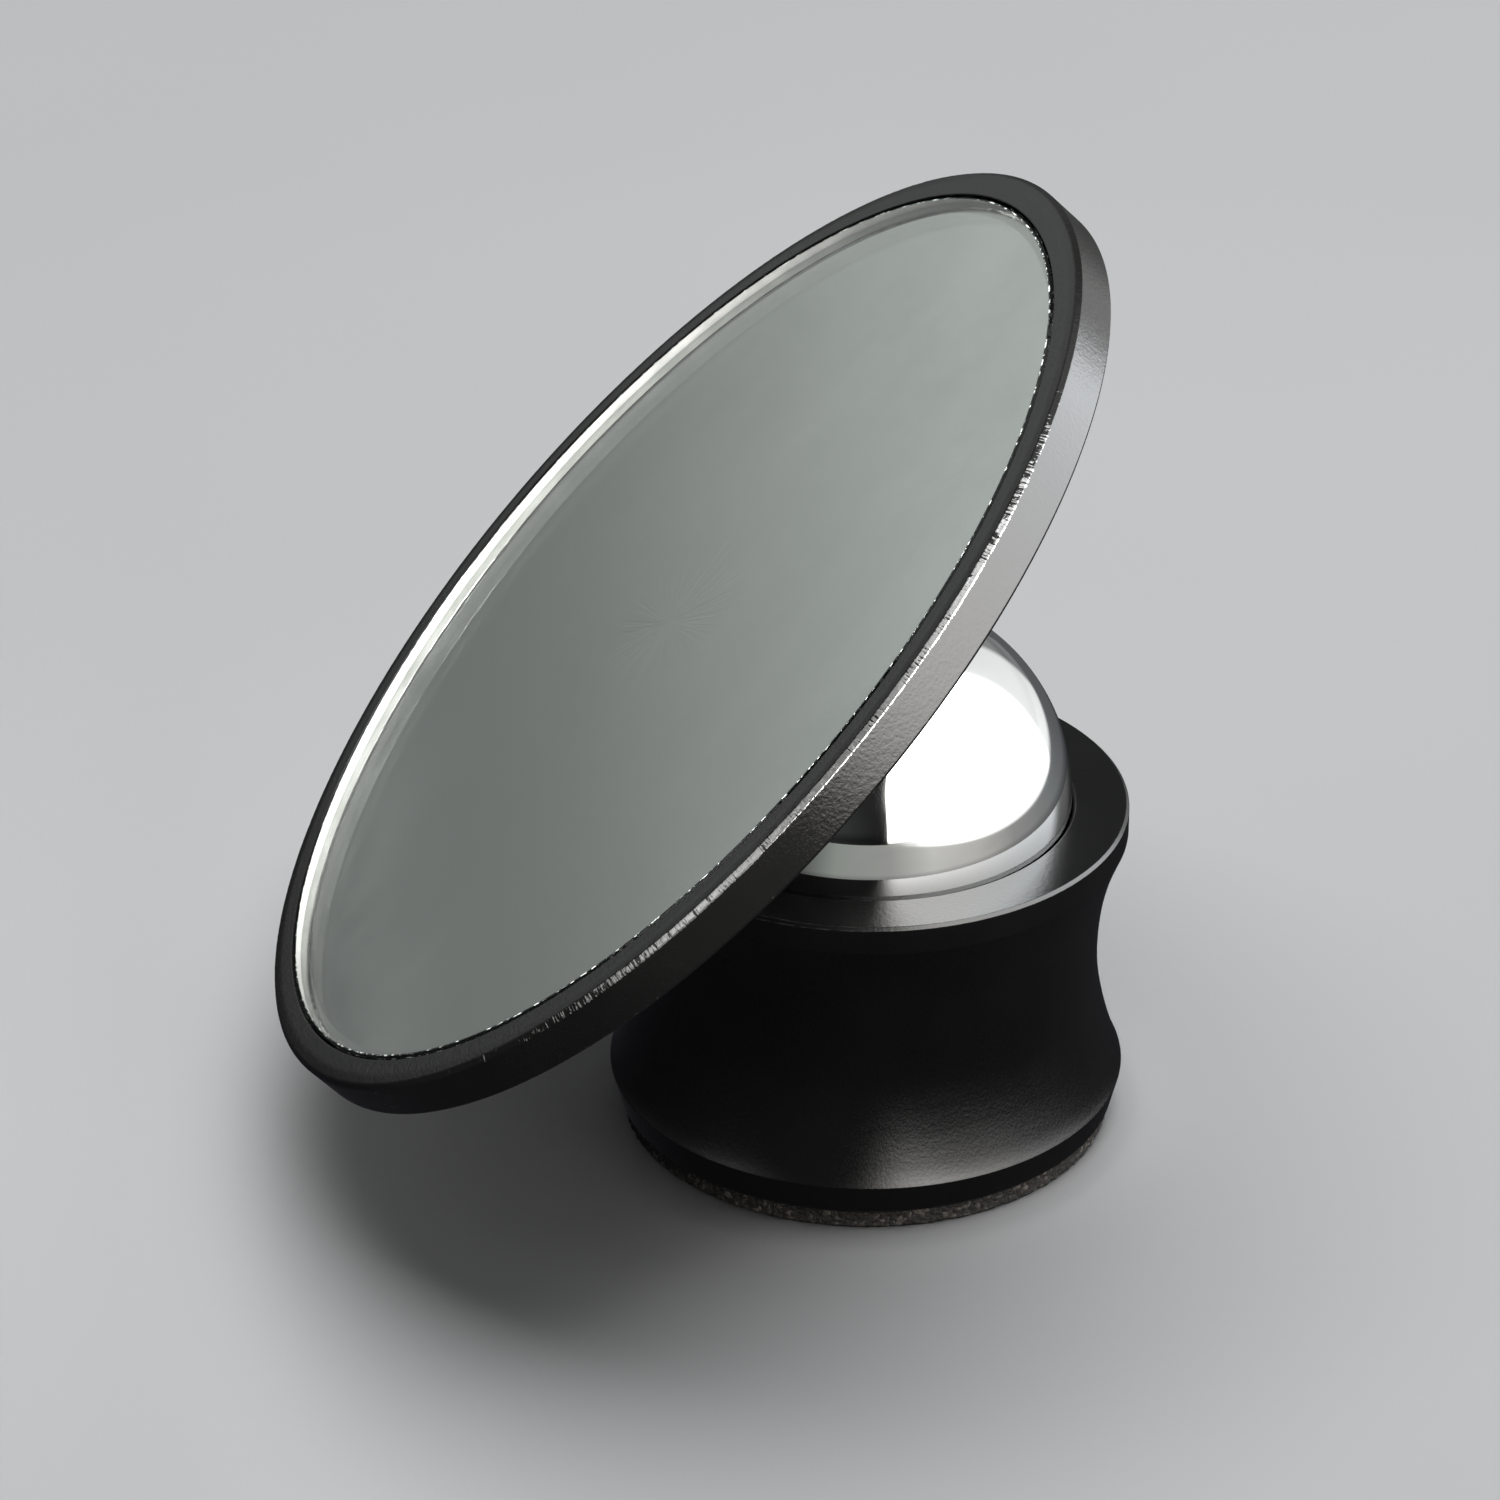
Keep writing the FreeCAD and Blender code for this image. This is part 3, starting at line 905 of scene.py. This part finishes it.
# each field is [(x, grey or rgb), ...], [(z, grey), ...]
RIGHT_FIELDS = [
    # the broad white field, fading out behind the object and near the table
    ([(-0.070, 0.0), (-0.052, (0.93, 0.97, 1.0)), (0.12, (1.0, 0.985, 0.965)),
      (1.00, (1.0, 0.965, 0.935)), (1.25, (0.8, 0.77, 0.74)), (1.44, 0.0)],
     [(0.016, 0.0), (0.045, 0.45), (0.080, 0.94), (0.110, 1.0), (0.70, 1.0), (0.80, 0.0)]),
    # a low strip beside the object
    ([(-0.070, 0.0), (-0.052, 0.70), (0.040, 0.70), (0.100, (0.80, 0.78, 0.76)),
      (0.200, (0.45, 0.44, 0.42)), (0.340, 0.15), (0.600, 0.0)],
     [(0.002, 0.0), (0.009, 0.50), (0.024, 0.46), (0.045, 0.25), (0.090, 0.0)]),
    # a faint field on the -X side
    ([(-0.250, 0.020), (-0.168, 0.018), (-0.148, 0.120), (-0.060, 0.155), (-0.040, 0.0)],
     [(0.002, 0.0), (0.010, 1.0), (0.20, 1.0), (0.45, 0.3)])]

lit_pieces = collect("lit_by_panel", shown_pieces())
lit_glass = collect("lit_glass", [pane])
lit_floor = collect("lit_by_ceiling", [floor])

# a tall white panel close on the +Y side, seen in the ball
right_panel = panel("panel_right", place=(0.60, 0.120, 0.40), aim=(0.60, 0.0, 0.40),
                    size=(1.70, 0.80), radiance=6.5, receivers=lit_pieces)
shade_panel(right_panel, RIGHT_FIELDS)
# a weak light from the -Y side picks out the bezel's cut corner
panel("panel_left", place=(0.26, -0.56, 0.30), aim=(0, 0, 0.03), size=(0.30, 0.34),
      radiance=0.9, receivers=lit_pieces)
# a small light reaches the ground rim of the glass through its face
rim_light = panel("rim_light", place=(0.40, 0.165, 0.43), aim=(-0.02, 0.0, 0.03),
                  size=(0.22, 0.22), radiance=60.0, receivers=lit_glass,
                  colour=(1.0, 0.985, 0.97))
rim_light.visible_glossy = False
ceiling = panel("ceiling", place=(-0.05, 0.05, 0.75), aim=(0, 0, 0), size=(0.70, 0.70),
                radiance=4.0, receivers=lit_floor, colour=(0.98, 0.99, 1.0))
ceiling.visible_glossy = False
panel("ceiling_soft", place=(-0.05, 0.05, 0.74), aim=(0, 0, 0), size=(0.90, 0.90),
      radiance=0.50, receivers=lit_pieces, colour=(0.98, 0.99, 1.0))

# -------------------------------------------------------------------- world
SKY_TINT = (0.965, 1.0, 0.985)
# (height of the view direction, brightness)
SKY = [(-0.10, 0.05), (-0.03, 0.24), (-0.005, 0.275), (0.002, 0.245), (0.020, 0.185),
       (0.032, 0.198), (0.045, 0.228), (0.060, 0.295), (0.080, 0.360), (0.097, 0.440),
       (0.118, 0.500), (0.20, 0.50), (0.42, 0.34), (0.80, 0.26)]
# (direction along x or y, share): the camera's +X side and the +Y side are dark
DIM_X = [(-0.80, 1.0), (-0.55, 0.42), (0.50, 0.09)]
DIM_Y = [(-0.38, 1.0), (-0.02, 0.32)]


def build_world():
    world = bpy.data.worlds.new("studio")
    scene.world = world
    nodes = Nodes(world, "ShaderNodeOutputWorld")
    axes = nodes.axes(nodes.node("ShaderNodeTexCoord").outputs["Generated"])
    sky = nodes.curve(axes["Z"], [(z, shade(SKY_TINT, by=level)) for z, level in SKY])
    sky = nodes.vector_maths("MULTIPLY", sky, nodes.curve(axes["X"], DIM_X))
    sky = nodes.vector_maths("MULTIPLY", sky, nodes.curve(axes["Y"], DIM_Y))
    room = nodes.make("ShaderNodeBackground", Color=sky)
    backdrop = nodes.make("ShaderNodeBackground", Color=BACKDROP)
    is_camera = nodes.node("ShaderNodeLightPath").outputs["Is Camera Ray"]
    nodes.finish(nodes.mix_shader(is_camera, room, backdrop))


def build_camera():
    lens = bpy.data.cameras.new("camera")
    camera = bpy.data.objects.new("camera", lens)
    scene.collection.objects.link(camera)
    right = Vector((0.07889, 0.99688, -0.00112)).normalized()
    forward = Vector((-0.87452, 0.06867, -0.48010)).normalized()
    up = right.cross(forward).normalized()
    right = forward.cross(up).normalized()
    turn = Matrix((right, up, -forward)).transposed()
    camera.matrix_world = Matrix.Translation((0.31912, -0.032298, 0.200273)) @ turn.to_4x4()
    lens.sensor_width = 36
    lens.lens = 143.86
    lens.clip_start = 0.01
    lens.clip_end = 20
    scene.camera = camera


build_world()
build_camera()
scene.view_settings.view_transform = "Standard"
scene.view_settings.look = "None"
